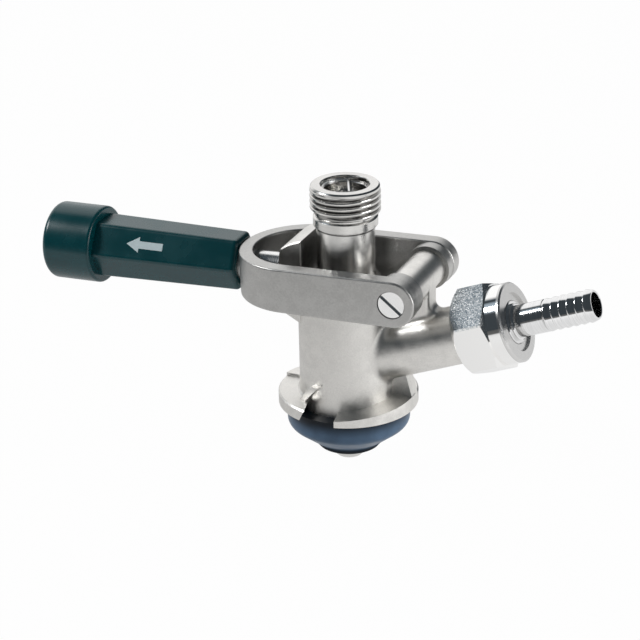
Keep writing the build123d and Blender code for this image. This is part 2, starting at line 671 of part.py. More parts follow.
def hose_tail():
    """Barbed hose tail held by its flange under the union nut."""
    start = SPIGOT_END + TAIL_WASHER_T
    flange_end = start + TAIL_FLANGE_T
    face = UNION_END - UNION_FACE_DEPTH
    outline = [(HOSE_BORE_R, start), (TAIL_FLANGE_R, start), (TAIL_FLANGE_R, flange_end),
               (TAIL_NECK_R, flange_end), (TAIL_NECK_R, face + 0.4), (TAIL_STEP_R, face + 0.4),
               (TAIL_STEP_R, SHANK_START), (SHANK_R, SHANK_START)]
    for barb in range(BARBS):
        base = SHANK_END + barb * BARB_PITCH
        outline += [(BARB_ROOT_R if barb else SHANK_R, base), (BARB_CREST_R, base)]
        outline += [(BARB_ROOT_R, base + BARB_PITCH)]
    outline[-1] = (BARB_ROOT_R, SHANK_END + BARBS * BARB_PITCH)
    outline += [(HOSE_BORE_R, SHANK_END + BARBS * BARB_PITCH)]
    clean = [point for index, point in enumerate(outline) if index == 0 or point != outline[index - 1]]
    return on_inlet(turned(*clean))


def union_nut():
    """Union nut: chamfered hexagon and a round collar that closes on the tail's flange."""
    hex_end = UNION_START + UNION_HEX_L
    corner = UNION_FLATS / sqrt(3)
    trim = turned((0, UNION_START), (UNION_FLATS / 2, UNION_START),
                  (corner + 0.1, UNION_START + UNION_CHAMFER_IN), (corner + 0.1, hex_end - UNION_CHAMFER_OUT),
                  (UNION_FLATS / 2, hex_end), (0, hex_end))
    skin = Rot(0, 0, UNION_TURN) * hexagon(UNION_FLATS, UNION_START, hex_end) & trim
    collar = turned((0, hex_end), (UNION_COLLAR_R, hex_end), (UNION_COLLAR_R, UNION_END - UNION_COLLAR_EDGE),
                    (UNION_COLLAR_R - UNION_COLLAR_EDGE, UNION_END), (0, UNION_END))
    lip = SPIGOT_END + TAIL_WASHER_T + TAIL_FLANGE_T + 2 * RUN
    nut = skin + collar - rod(SPIGOT_THREAD_R + RUN, UNION_START - EPS, lip)
    nut -= rod(TAIL_NECK_R + 2 * RUN, lip - EPS, UNION_END + EPS)
    return on_inlet(nut - rod(UNION_FACE_R, UNION_END - UNION_FACE_DEPTH, UNION_END + EPS))


def build():
    """Every node by name."""
    return {
        "cast_body": cast_body(), "gland_bush": gland_bush(), "gland_o_rings": gland_o_rings(),
        "keg_seal": keg_seal(), "probe_tube": probe_tube(), "outlet_fitting": outlet_fitting(),
        "outlet_o_ring": outlet_o_ring(), "check_ball": check_ball(), "ball_retainer": ball_retainer(),
        "lever_yoke": on_lever(lever_yoke()), "drive_pin_near": drive_pin(-1), "drive_pin_far": drive_pin(1),
        "pivot_screw": pivot_screw(), "pivot_nut": pivot_nut(), "pivot_bushes": pivot_bushes(),
        "latch_bolt": latch_bolt(), "latch_spring": latch_spring(), "stem_plug": stem_plug(),
        "grip": grip(), "grip_cap": grip_cap(), "grip_washer": grip_washer(), "bolt_nut": bolt_nut(),
        "union_nut": union_nut(), "hose_tail": hose_tail(), "tail_washer": tail_washer(),
        "gas_check_valve": gas_check_valve(), "valve_ring": valve_ring(),
    }


os.makedirs("parts", exist_ok=True)
for node, solid in build().items():
    export_step(solid, f"parts/{node}.step")
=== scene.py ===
"""Looks of a keg coupler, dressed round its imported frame."""
import json
import logging
import math
from dataclasses import dataclass, field
from enum import Enum

import bmesh
import bpy
from mathutils import Matrix, Vector


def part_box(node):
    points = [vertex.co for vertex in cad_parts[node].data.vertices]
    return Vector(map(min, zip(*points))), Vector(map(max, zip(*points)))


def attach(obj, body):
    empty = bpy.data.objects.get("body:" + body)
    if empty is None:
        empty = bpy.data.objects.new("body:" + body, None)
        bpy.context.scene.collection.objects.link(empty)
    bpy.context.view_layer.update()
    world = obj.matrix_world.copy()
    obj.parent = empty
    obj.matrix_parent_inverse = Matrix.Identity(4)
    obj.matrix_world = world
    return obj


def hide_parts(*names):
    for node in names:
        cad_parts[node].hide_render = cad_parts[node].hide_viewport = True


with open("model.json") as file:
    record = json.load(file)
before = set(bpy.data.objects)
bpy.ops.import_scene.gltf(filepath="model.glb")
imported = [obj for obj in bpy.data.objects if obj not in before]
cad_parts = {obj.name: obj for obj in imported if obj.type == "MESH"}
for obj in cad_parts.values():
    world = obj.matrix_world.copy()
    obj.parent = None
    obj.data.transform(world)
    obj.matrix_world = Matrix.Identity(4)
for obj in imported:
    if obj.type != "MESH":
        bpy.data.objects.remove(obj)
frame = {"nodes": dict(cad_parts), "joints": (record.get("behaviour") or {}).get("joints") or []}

LOG = logging.getLogger("keg_coupler")
MM = 0.001
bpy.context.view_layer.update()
Colour = tuple[float, float, float]
WHITE: Colour = (1.0, 1.0, 1.0)


def millimetres(*values: float) -> Vector:
    """Point given in millimetres, in metres."""
    return Vector(values) * MM


def joint(name: str) -> dict:
    """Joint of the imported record, by its name."""
    return next(entry for entry in frame["joints"] if entry["name"] == name)


class Axis(Enum):
    """Lines that round pieces are turned on."""

    PROBE = "probe"
    LEVER = "lever"
    INLET = "inlet"
    PIVOT = "pivot"

    def line(self) -> tuple[Vector, Vector]:
        """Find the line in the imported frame.

        Returns:
            The point that heights are counted from, and the direction.
        """
        if self is Axis.PROBE:
            return Vector((0.0, 0.0, 0.0)), Vector((0.0, 0.0, 1.0))
        if self is Axis.INLET:
            spin = joint("gas_nut_turn")
            direction = Vector(spin["axis"]).normalized()
            foot = Vector(spin["pos_m"])
            return foot - direction * (foot.x / direction.x), direction
        pivot = Vector(joint("lever_hinge")["pos_m"])
        if self is Axis.PIVOT:
            return pivot, Vector((0.0, 1.0, 0.0))
        return pivot, Vector(joint("latch_pull")["axis"]).normalized()

    def matrix(self) -> Matrix:
        """Place of a frame whose +Z runs along this line, with +X as near to upwards as can be.

        Returns:
            Matrix from that frame to the object's frame.
        """
        start, direction = self.line()
        level = Vector((1.0, 0.0, 0.0)) if self is Axis.PIVOT else Vector((0.0, 1.0, 0.0))
        upward = level.cross(direction)
        if upward.z < 0:
            upward = -upward
        turn = Matrix((upward, direction.cross(upward), direction)).transposed().to_4x4()
        return Matrix.Translation(start) @ turn


class Value:
    """Shader socket that takes part in Python arithmetic."""

    def __init__(self, graph: "Graph", socket: bpy.types.NodeSocket) -> None:
        """Keep the socket and the graph that new nodes go to."""
        self.graph = graph
        self.socket = socket

    def _math(self, operation: str, *terms: "Value | float") -> "Value":
        """Add a Math node on some terms.

        Args:
            operation: Blender's name of the operation.
            terms: Its inputs, in order.

        Returns:
            The node's result.
        """
        inputs = dict(enumerate(terms))
        return self.graph.node("ShaderNodeMath", {"operation": operation}, inputs).out("Value")

    def __add__(self, other: "Value | float") -> "Value":
        """Sum."""
        return self._math("ADD", self, other)

    def __radd__(self, other: float) -> "Value":
        """Sum, with the number on the left."""
        return self._math("ADD", other, self)

    def __sub__(self, other: "Value | float") -> "Value":
        """Difference."""
        return self._math("SUBTRACT", self, other)

    def __rsub__(self, other: float) -> "Value":
        """Difference, with the number on the left."""
        return self._math("SUBTRACT", other, self)

    def __mul__(self, other: "Value | float") -> "Value":
        """Product."""
        return self._math("MULTIPLY", self, other)

    def __rmul__(self, other: float) -> "Value":
        """Product, with the number on the left."""
        return self._math("MULTIPLY", other, self)

    def ramp(self, low: float, high: float, to_low: float = 0.0, to_high: float = 1.0) -> "Value":
        """Smooth, clamped change from one range to another.

        Args:
            low: Value that gives to_low.
            high: Value that gives to_high.
            to_low: Result at low.
            to_high: Result at high.

        Returns:
            The mapped value.
        """
        settings = {"interpolation_type": "SMOOTHSTEP"}
        inputs = {"Value": self, "From Min": low, "From Max": high, "To Min": to_low, "To Max": to_high}
        return self.graph.node("ShaderNodeMapRange", settings, inputs).out("Result")

    def step(self, start: float, end: float) -> "Value":
        """Change from 0 to 1 between two places given in millimetres."""
        return self.ramp(start * MM, end * MM)

    def sine(self) -> "Value":
        """Sine."""
        return self._math("SINE", self)

    def root(self) -> "Value":
        """Square root."""
        return self._math("SQRT", self)

    def size(self) -> "Value":
        """Distance from zero."""
        return self._math("ABSOLUTE", self)

    def over(self, limit: float) -> "Value":
        """Amount by which this passes a limit, or zero."""
        return self._math("MAXIMUM", self - limit, 0.0)


class Made:
    """A node that has just been made, with its outputs by name."""

    def __init__(self, graph: "Graph", node: bpy.types.Node) -> None:
        """Keep the node and its graph."""
        self.graph = graph
        self.node = node

    def out(self, name: str | int) -> Value:
        """Output by name or number."""
        return Value(self.graph, self.node.outputs[name])


class Graph:
    """Node graph of one material or world."""

    def __init__(self, tree: bpy.types.NodeTree) -> None:
        """Empty the tree, ready for new nodes."""
        self.tree = tree
        tree.nodes.clear()

    def node(self, kind: str, settings: dict[str, object], inputs: dict[str | int, object]) -> Made:
        """Add a node of any type.

        Args:
            kind: Blender's type name.
            settings: Properties, which are set first.
            inputs: Values or links by socket name or number.

        Returns:
            The node.
        """
        node = self.tree.nodes.new(kind)
        for key, value in settings.items():
            setattr(node, key, value)
        for key, value in inputs.items():
            if isinstance(value, Value):
                self.tree.links.new(value.socket, node.inputs[key])
            else:
                node.inputs[key].default_value = value
        return Made(self, node)

    def coordinates(self, place: Matrix | None = None) -> Value:
        """Object coordinates, in metres.

        Args:
            place: Place of the frame to give them in, or None for the object's own.

        Returns:
            The coordinates.
        """
        base = self.node("ShaderNodeTexCoord", {}, {}).out("Object")
        if place is None:
            return base
        inverse = place.inverted()
        inputs = {"Vector": base, "Location": inverse.to_translation(), "Rotation": inverse.to_euler()}
        return self.node("ShaderNodeMapping", {"vector_type": "POINT"}, inputs).out("Vector")

    def noise(self, size: float, where: Value, detail: float = 2.0) -> Value:
        """Noise whose features are about a given size across.

        Args:
            size: Feature size in millimetres.
            where: Coordinates in metres.
            detail: Octaves.

        Returns:
            Noise about 0.5.
        """
        inputs = {"Vector": where, "Scale": 1.0 / (size * MM), "Detail": detail}
        return self.node("ShaderNodeTexNoise", {}, inputs).out("Fac")

    def parts(self, vector: Value) -> tuple[Value, Value, Value]:
        """Split a vector into its three components."""
        made = self.node("ShaderNodeSeparateXYZ", {}, {"Vector": vector})
        return made.out("X"), made.out("Y"), made.out("Z")

    def facing(self, where: Value, direction: tuple[float, float, float]) -> Value:
        """Nearness of a view direction to a given one.

        Args:
            where: The view direction, of length 1.
            direction: The other one, of any length.

        Returns:
            The cosine of the angle between them.
        """
        inputs = {0: where, 1: Vector(direction).normalized()}
        return self.node("ShaderNodeVectorMath", {"operation": "DOT_PRODUCT"}, inputs).out("Value")

    def mix(self, factor: Value, low: Value | Colour, high: Value | Colour) -> Value:
        """Blend two colours, each given or worked out by other nodes.

        Args:
            factor: Share of the second colour.
            low: Colour at 0.
            high: Colour at 1.

        Returns:
            The blended colour.
        """
        settings = {"data_type": "RGBA", "blend_type": "MIX"}
        first, second = [end if isinstance(end, Value) else (*end, 1.0) for end in (low, high)]
        return self.node("ShaderNodeMix", settings, {"Factor": factor, "A": first, "B": second}).out(2)

    def bump(self, height: Value, distance: float = 1.0) -> Value:
        """Surface relief.

        Args:
            height: Height as a share of the distance.
            distance: Full height in millimetres.

        Returns:
            The bent normal.
        """
        inputs = {"Height": height, "Distance": distance * MM, "Strength": 1.0}
        return self.node("ShaderNodeBump", {}, inputs).out("Normal")


def shade(colour: Colour, factor: float) -> Colour:
    """Colour made lighter or darker."""
    return tuple(min(1.0, channel * factor) for channel in colour)


def from_line(first: Value, second: Value) -> Value:
    """Distance from a line, given the two coordinates square to it."""
    return (first * first + second * second).root()


@dataclass(frozen=True)
class Finish:
    """Plain painted surface, the base of every finish, whose sizes are in millimetres."""

    name: str
    colour: Colour
    roughness: float
    metallic: float = 0.0
    specular: float = 0.5
    frame: Axis | None = None

    def surface(self, graph: Graph) -> dict[str, Value]:
        """Varying inputs of the shader, by socket name."""
        return {}

    def own_coordinates(self, graph: Graph) -> Value:
        """Coordinates in the finish's own frame, if it has one, or the object's."""
        return graph.coordinates(self.frame.matrix() if self.frame else None)

    def material(self) -> bpy.types.Material:
        """Build the material once and keep it by name.

        Returns:
            The material.
        """
        name = f"{self.name}_finish"
        found = bpy.data.materials.get(name)
        if found is not None:
            return found
        material = bpy.data.materials.new(name)
        material.use_nodes = True
        graph = Graph(material.node_tree)
        inputs = {
            "Base Color": (*self.colour, 1.0), "Roughness": self.roughness, "Metallic": self.metallic,
            "Specular IOR Level": self.specular,
        }
        inputs.update(self.surface(graph))
        shader = graph.node("ShaderNodeBsdfPrincipled", {}, inputs)
        graph.node("ShaderNodeOutputMaterial", {}, {"Surface": shader.out("BSDF")})
        return material


@dataclass(frozen=True)
class Metal(Finish):
    """Bare or plated metal."""

    metallic: float = 1.0


@dataclass(frozen=True)
class Casting(Metal):
    """Bead-blasted stainless casting: fine even grain over soft, broad unevenness."""

    grain: float = 0.42
    depth: float = 0.020
    patch: float = 4.5
    mottle: float = 0.07
    swell: float = 3.2
    swell_depth: float = 0.05
    painted_shade_tone: float = 0.42
    polished_r: float = 0.0
    polished_edge: tuple[float, float] = (0.1, 0.5)
    polished_roughness: float = 0.34
    polished_relief: float = 0.1

    def painted_shade(self, graph: Graph) -> Value | None:
        """Share of the surface given painted shade, darker in its colour, if any."""
        return None

    def polished(self, graph: Graph) -> Value:
        """Share of the surface that is turned and polished, round the lever's pivot.

        Args:
            graph: The material's nodes.

        Returns:
            1 on the polished tube and 0 beyond its edge.
        """
        upward, sideways, _ = graph.parts(graph.coordinates(Axis.PIVOT.matrix()))
        inside, outside = self.polished_edge
        return from_line(upward, sideways).step(self.polished_r + outside, self.polished_r + inside)

    def surface(self, graph: Graph) -> dict[str, Value]:
        """Grain, mottling, painted shade where a subclass gives it, and soft waviness of the casting,
        with its turned tube polished.

        Args:
            graph: The material's nodes.

        Returns:
            Varying inputs of the shader, by socket name.
        """
        where = graph.coordinates()
        fine = graph.noise(self.grain, where)
        broad = graph.noise(self.patch, where, 3.0)
        tone = (fine * 0.35 + broad * 0.65).ramp(0.36, 0.64)
        colour = graph.mix(tone, shade(self.colour, 1 - self.mottle), shade(self.colour, 1 + self.mottle))
        painted_shade = self.painted_shade(graph)
        # Painted shade: inner walls darkened in the colour itself, standing for the shade that falls
        # there.
        if painted_shade is not None:
            colour = graph.mix(painted_shade, colour, shade(self.colour, self.painted_shade_tone))
        rough = broad.ramp(0.3, 0.7, self.roughness - 0.05, self.roughness + 0.06)
        height = fine * self.depth + graph.noise(self.swell, where, 1.0) * self.swell_depth
        if self.polished_r:
            polished = self.polished(graph)
            rough = rough * (1.0 - polished) + polished * self.polished_roughness
            height = height * (1.0 - polished * (1 - self.polished_relief))
        return {"Base Color": colour, "Roughness": rough, "Normal": graph.bump(height)}


@dataclass(frozen=True)
class YokeCasting(Casting):
    """Casting of the yoke, with painted shade on the inner walls of its loop."""

    loop_half: float = 16.1
    loop_end: float = 38.5
    loop_start: float = 12.0
    loop_fade: float = 5.0
    wall_edge: tuple[float, float] = (0.2, 0.5)

    def painted_shade(self, graph: Graph) -> Value:
        """Inner walls, from the pivot's bosses round the loop's end.

        Args:
            graph: The material's nodes.

        Returns:
            1 on those walls and 0 elsewhere.
        """
        _, sideways, along = graph.parts(graph.coordinates(Axis.LEVER.matrix()))
        inside, outside = self.wall_edge
        radius = from_line(sideways, along.over(self.loop_end * MM))
        wall = radius.step(self.loop_half + outside, self.loop_half + inside)
        return wall * along.step(self.loop_start, self.loop_start + self.loop_fade)


@dataclass(frozen=True)
class BodyCasting(Casting):
    """Casting of the body, with painted shade on the sides and back of its strike tower."""

    tower_half: float = 10.2
    tower_back: float = -11.6
    tower_foot: float = 38.0
    foot_fade: float = 2.0
    side_edge: tuple[float, float] = (0.4, 0.15)
    corner_edge: tuple[float, float] = (0.4, 0.1)
    back_edge: tuple[float, float] = (0.3, 0.1)
    back_reach: tuple[float, float] = (3.0, 2.0)

    def painted_shade(self, graph: Graph) -> Value:
        """The tower's two sides and its face beside the probe.

        Args:
            graph: The material's nodes.

        Returns:
            1 on those faces and 0 elsewhere.
        """
        across, sideways, level = graph.parts(graph.coordinates())
        side = sideways.size().step(*(self.tower_half - edge for edge in self.side_edge))
        side = side * across.step(*(self.tower_back + edge for edge in self.corner_edge))
        back = across.step(*(self.tower_back - edge for edge in self.back_edge))
        back = back * across.step(*(self.tower_back + reach for reach in self.back_reach))
        both = 1.0 - (1.0 - side) * (1.0 - back)
        return both * level.step(self.tower_foot, self.tower_foot + self.foot_fade)


@dataclass(frozen=True)
class GrooveShade:
    """Band of a turned piece darkened as painted shade, with its limits in millimetres."""

    inner_r: float
    outer_r: float
    low: float
    high: float
    tone: float
    foot_edge: float = 0.1
    crest_edge: float = 0.4
    end_edge: float = 0.2

    def share(self, graph: Graph, where: Value) -> Value:
        """Share of the surface that lies in the band.

        Args:
            graph: The material's nodes.
            where: Coordinates whose Z runs along the piece's axis.

        Returns:
            1 down in the groove and 0 outside it.
        """
        across, around, along = graph.parts(where)
        radius = from_line(across, around)
        deep = radius.step(self.outer_r, self.outer_r - self.crest_edge)
        deep = deep * radius.step(self.inner_r - self.foot_edge, self.inner_r)
        deep = deep * along.step(self.low - self.end_edge, self.low)
        return deep * along.step(self.high, self.high - self.end_edge)


@dataclass(frozen=True)
class Turned(Metal):
    """Lathe-turned stainless: fine rings round an axis, with faint streaks."""

    pitch: float = 0.16
    depth: float = 0.0016
    streak: float = 1.6
    stretch: tuple[float, float, float] = (0.15, 0.15, 6.0)
    wander: float = 5.0
    groove: GrooveShade | None = None

    def surface(self, graph: Graph) -> dict[str, Value]:
        """Tool marks that follow the axis, and painted shade down in a groove.

        Args:
            graph: The material's nodes.

        Returns:
            Varying inputs of the shader, by socket name.
        """
        where = self.own_coordinates(graph)
        scaling = {"Vector": where, "Scale": self.stretch}
        stretched = graph.node("ShaderNodeMapping", {"vector_type": "POINT"}, scaling).out("Vector")
        streak = graph.noise(self.streak, stretched, 3.0)
        along = graph.parts(where)[2]
        rings = (along * (2 * math.pi / (self.pitch * MM)) + streak * self.wander).sine()
        tone = streak.ramp(0.35, 0.65)
        colour = graph.mix(tone, shade(self.colour, 0.93), shade(self.colour, 1.04))
        # Painted shade: the band's colour is darkened to stand for the shade in the groove.
        if self.groove:
            deep = self.groove.share(graph, where)
            colour = graph.mix(deep, colour, shade(self.colour, self.groove.tone))
        rough = tone.ramp(0.0, 1.0, self.roughness - 0.05, self.roughness + 0.05)
        height = rings * self.depth + streak * self.depth * 2.0
        return {"Base Color": colour, "Roughness": rough, "Normal": graph.bump(height)}


@dataclass(frozen=True)
class Plated(Metal):
    """Bright chrome plate: near mirror on its turned end, with a flecked, painted dark bluish reflection
    on the hexagon's upper side.
    """

    reflection_end: float = 56.7
    reflection_end_edge: float = 0.1
    reflection_side: float = 5.0
    reflection_side_edge: float = 0.8
    painted_reflection_colour: Colour = (0.44, 0.49, 0.52)
    fleck: float = 0.5
    fleck_depth: float = 0.016
    faced_end: float = 61.0
    faced_edge: tuple[float, float] = (0.06, 0.01)
    faced_tone: float = 0.74
    faced_roughness: float = 0.2
    ripple: float = 2.4
    ripple_depth: float = 0.006

    def surface(self, graph: Graph) -> dict[str, Value]:
        """Ripple of polished metal below the plate, and a flecked painted reflection on the hexagon's
        upper side.

        Args:
            graph: The material's nodes.

        Returns:
            Varying inputs of the shader, by socket name.
        """
        where = self.own_coordinates(graph)
        upward, _, along = graph.parts(where)
        painted_reflection = along.step(self.reflection_end + self.reflection_end_edge, self.reflection_end - self.reflection_end_edge)
        painted_reflection = painted_reflection * upward.step(self.reflection_side, self.reflection_side + self.reflection_side_edge)
        before, after = self.faced_edge
        faced = along.step(self.faced_end - before, self.faced_end - after)
        ripple = graph.noise(self.ripple, where)
        flecks = graph.noise(self.fleck, where)
        rough = painted_reflection * flecks.ramp(0.35, 0.65, 0.10, 0.20) + faced * self.faced_roughness
        # Painted reflection: the hexagon's upper side is coloured dark bluish, flecked, standing for the
        # ceiling it reflects.
        colour = graph.mix(painted_reflection * flecks.ramp(0.78, 0.25), self.colour, self.painted_reflection_colour)
        colour = graph.mix(faced, colour, shade(self.colour, self.faced_tone))
        height = ripple * self.ripple_depth + painted_reflection * flecks * self.fleck_depth
        return {"Base Color": colour, "Roughness": rough + self.roughness, "Normal": graph.bump(height)}


@dataclass(frozen=True)
class Moulded(Finish):
    """Glossy moulded plastic with a faint orange-peel and soft wear in its gloss."""

    patch: float = 9.0
    peel: float = 1.3
    depth: float = 0.006

    def surface(self, graph: Graph) -> dict[str, Value]:
        """Orange-peel and uneven gloss.

        Args:
            graph: The material's nodes.

        Returns:
            Varying inputs of the shader, by socket name.
        """
        where = graph.coordinates()
        broad = graph.noise(self.patch, where, 3.0)
        colour = graph.mix(broad.ramp(0.3, 0.7), shade(self.colour, 0.92), shade(self.colour, 1.08))
        rough = broad.ramp(0.3, 0.7, self.roughness - 0.03, self.roughness + 0.05)
        height = graph.noise(self.peel, where)
        return {"Base Color": colour, "Roughness": rough, "Normal": graph.bump(height, self.depth)}


@dataclass(frozen=True)
class Rubber(Finish):
    """Moulded rubber: fine-grained skin with a light bloom."""

    patch: float = 5.0
    bloom: float = 0.25
    grain: float = 0.3
    depth: float = 0.006

    def surface(self, graph: Graph) -> dict[str, Value]:
        """Bloom on the skin and its fine grain.

        Args:
            graph: The material's nodes.

        Returns:
            Varying inputs of the shader, by socket name.
        """
        where = graph.coordinates()
        cloud = graph.noise(self.patch, where, 4.0)
        colour = graph.mix(cloud.ramp(0.35, 0.7), self.colour, shade(self.colour, 1 + self.bloom))
        rough = cloud.ramp(0.3, 0.7, self.roughness - 0.05, self.roughness + 0.08)
        relief = graph.bump(graph.noise(self.grain, where), self.depth)
        return self.sheen_and_wear(graph, {"Base Color": colour, "Roughness": rough, "Normal": relief}, cloud)

    def sheen_and_wear(self, graph: Graph, skin: dict[str, Value], cloud: Value) -> dict[str, Value]:
        """Skin with its painted sheen and marks of use, of which plain rubber has none."""
        return skin


@dataclass(frozen=True)
class SheenedRubber(Rubber):
    """Rubber of the keg seal, with a pale painted sheen on its bulge below the flange and matt at its
    lip.
    """

    sheen_top: float = -0.5
    sheen_full: float = -6.0
    sheen_fade: float = -11.5
    sheen_end: float = -15.0
    sheen_gain: float = 16.0
    matt_start: float = -11.5
    matt_full: float = -13.5
    matt_gain: float = 0.5

    def sheen_and_wear(self, graph: Graph, skin: dict[str, Value], cloud: Value) -> dict[str, Value]:
        """Skin with a pale, uneven belt of painted sheen below the flange and a matt lip below it.

        Args:
            graph: The material's nodes.
            skin: The plain skin's inputs of the shader.
            cloud: Noise that the painted sheen follows.

        Returns:
            Varying inputs of the shader, by socket name.
        """
        level = graph.parts(graph.coordinates())[2]
        sheen = level.step(self.sheen_top, self.sheen_full) * level.step(self.sheen_end, self.sheen_fade)
        sheen = sheen * cloud.ramp(0.2, 0.8, 0.75, 1.0)
        # Painted sheen: the bulge is lightened in colour, standing for the floor's reflection on it.
        colour = graph.mix(sheen, self.colour, shade(self.colour, self.sheen_gain))
        matt = level.step(self.matt_start, self.matt_full) * self.matt_gain
        return {**skin, "Base Color": colour, "Roughness": skin["Roughness"] + matt}


CAST_STEEL = BodyCasting(
    "cast_steel", (0.79, 0.775, 0.745), 0.39, grain=0.5, depth=0.04, mottle=0.08, polished_r=6.2,
    painted_shade_tone=0.6)
SATIN_STEEL = YokeCasting("satin_steel", (0.565, 0.56, 0.545), 0.42, grain=0.6, depth=0.045, mottle=0.10)
# Painted shadow: a dark band on the probe just under the collar's overhang.
PROBE_SEAM_SHADOW = GrooveShade(inner_r=9.0, outer_r=10.2, low=61.1, high=61.6, tone=0.2)
# Painted shade: the thread's grooves darkened in the colour itself.
THREAD_ROOT_SHADE = GrooveShade(inner_r=9.0, outer_r=11.35, low=66.0, high=74.0, tone=0.5)
TURNED_STEEL = Turned("turned_steel", (0.78, 0.77, 0.75), 0.22, frame=Axis.PROBE, groove=PROBE_SEAM_SHADOW)
OUTLET_STEEL = Turned(
    "outlet_steel", (0.71, 0.70, 0.68), 0.2, frame=Axis.PROBE, depth=0.0004, groove=THREAD_ROOT_SHADE)
POLISHED_BOLT = Turned("polished_bolt", (0.88, 0.88, 0.87), 0.22, frame=Axis.LEVER, depth=0.0002)
POLISHED_PIVOT = Turned("polished_pivot", (0.94, 0.94, 0.93), 0.14, frame=Axis.PIVOT, depth=0.0006)
SPRING_WIRE = Turned("spring_wire", (0.55, 0.55, 0.54), 0.3, frame=Axis.LEVER, depth=0.0004)
BRIGHT_WIRE = Turned("bright_wire", (0.94, 0.94, 0.93), 0.32, frame=Axis.PROBE, depth=0.0003)
CHROME_TAIL = Turned("chrome_tail", (0.82, 0.82, 0.82), 0.08, frame=Axis.INLET, depth=0.0005)
CHROME_NUT = Plated("chrome_nut", (0.93, 0.925, 0.915), 0.07, frame=Axis.INLET)
GREEN_PLASTIC = Moulded("green_plastic", (0.0, 0.068, 0.080), 0.25, specular=0.55)
ACETAL = Moulded("acetal", (0.72, 0.72, 0.69), 0.4, depth=0.01)
SEAL_RUBBER = SheenedRubber("seal_rubber", (0.008, 0.013, 0.020), 0.33, specular=0.2)
BLACK_RUBBER = Rubber("black_rubber", (0.02, 0.02, 0.022), 0.5)
ARROW_INK = Finish("arrow_ink", (0.84, 0.98, 1.0), 0.4)


def dress(piece: bpy.types.Object, finish: Finish) -> None:
    """Give a piece one finish all over."""
    piece.data.materials.clear()
    piece.data.materials.append(finish.material())


def publish(
    name: str, shape: bmesh.types.BMesh, finish: Finish, body: str, angle: float,
) -> bpy.types.Object:
    """Turn a finished bmesh into a piece that rides on a body.

    Args:
        name: The piece's name.
        shape: Its mesh in the object's frame, in metres.
        finish: Its finish.
        body: The CAD body that it moves with.
        angle: Edges sharper than this, in degrees, stay sharp in shading.

    Returns:
        The piece.
    """
    bmesh.ops.remove_doubles(shape, verts=shape.verts, dist=1e-7)
    bmesh.ops.recalc_face_normals(shape, faces=shape.faces)
    for face in shape.faces:
        face.smooth = True
    for edge in shape.edges:
        edge.smooth = len(edge.link_faces) == 2 and edge.calc_face_angle(0.0) < math.radians(angle)
    mesh = bpy.data.meshes.new(name)
    shape.to_mesh(mesh)
    shape.free()
    piece = bpy.data.objects.new(name, mesh)
    bpy.context.scene.collection.objects.link(piece)
    dress(piece, finish)
    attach(piece, body)
    LOG.info("%s: %d faces on %s, in %s", name, len(mesh.polygons), body, finish.name)
    return piece


def chain(
    shape: bmesh.types.BMesh, points: list[Vector],
) -> list[bmesh.types.BMVert | bmesh.types.BMEdge]:
    """Add a closed run of edges through some points.

    Args:
        shape: The mesh that takes them.
        points: Corners in order.

    Returns:
        The new vertices and edges.
    """
    verts = [shape.verts.new(point) for point in points]
    return verts + [shape.edges.new(pair) for pair in zip(verts, verts[1:] + verts[:1])]


def lathe(outline: list[tuple[float, float]], steps: int) -> bmesh.types.BMesh:
    """Full turn of a closed (radius, height) outline, in millimetres, about Z.

    Args:
        outline: Corners of the section, in order.
        steps: Facets round the turn.

    Returns:
        A closed ring-shaped mesh in metres.
    """
    shape = bmesh.new()
    section = chain(shape, [millimetres(radius, 0.0, height) for radius, height in outline])
    bmesh.ops.spin(
        shape, geom=section, cent=(0, 0, 0), axis=(0, 0, 1), angle=2 * math.pi, steps=steps,
        use_merge=True)
    return shape


def add_shape(target: bmesh.types.BMesh, extra: bmesh.types.BMesh) -> None:
    """Copy one bmesh into another and free it.

    Args:
        target: The bmesh that grows.
        extra: The bmesh that is copied.
    """
    mesh = bpy.data.meshes.new("joined")
    extra.to_mesh(mesh)
    extra.free()
    target.from_mesh(mesh)
    bpy.data.meshes.remove(mesh)


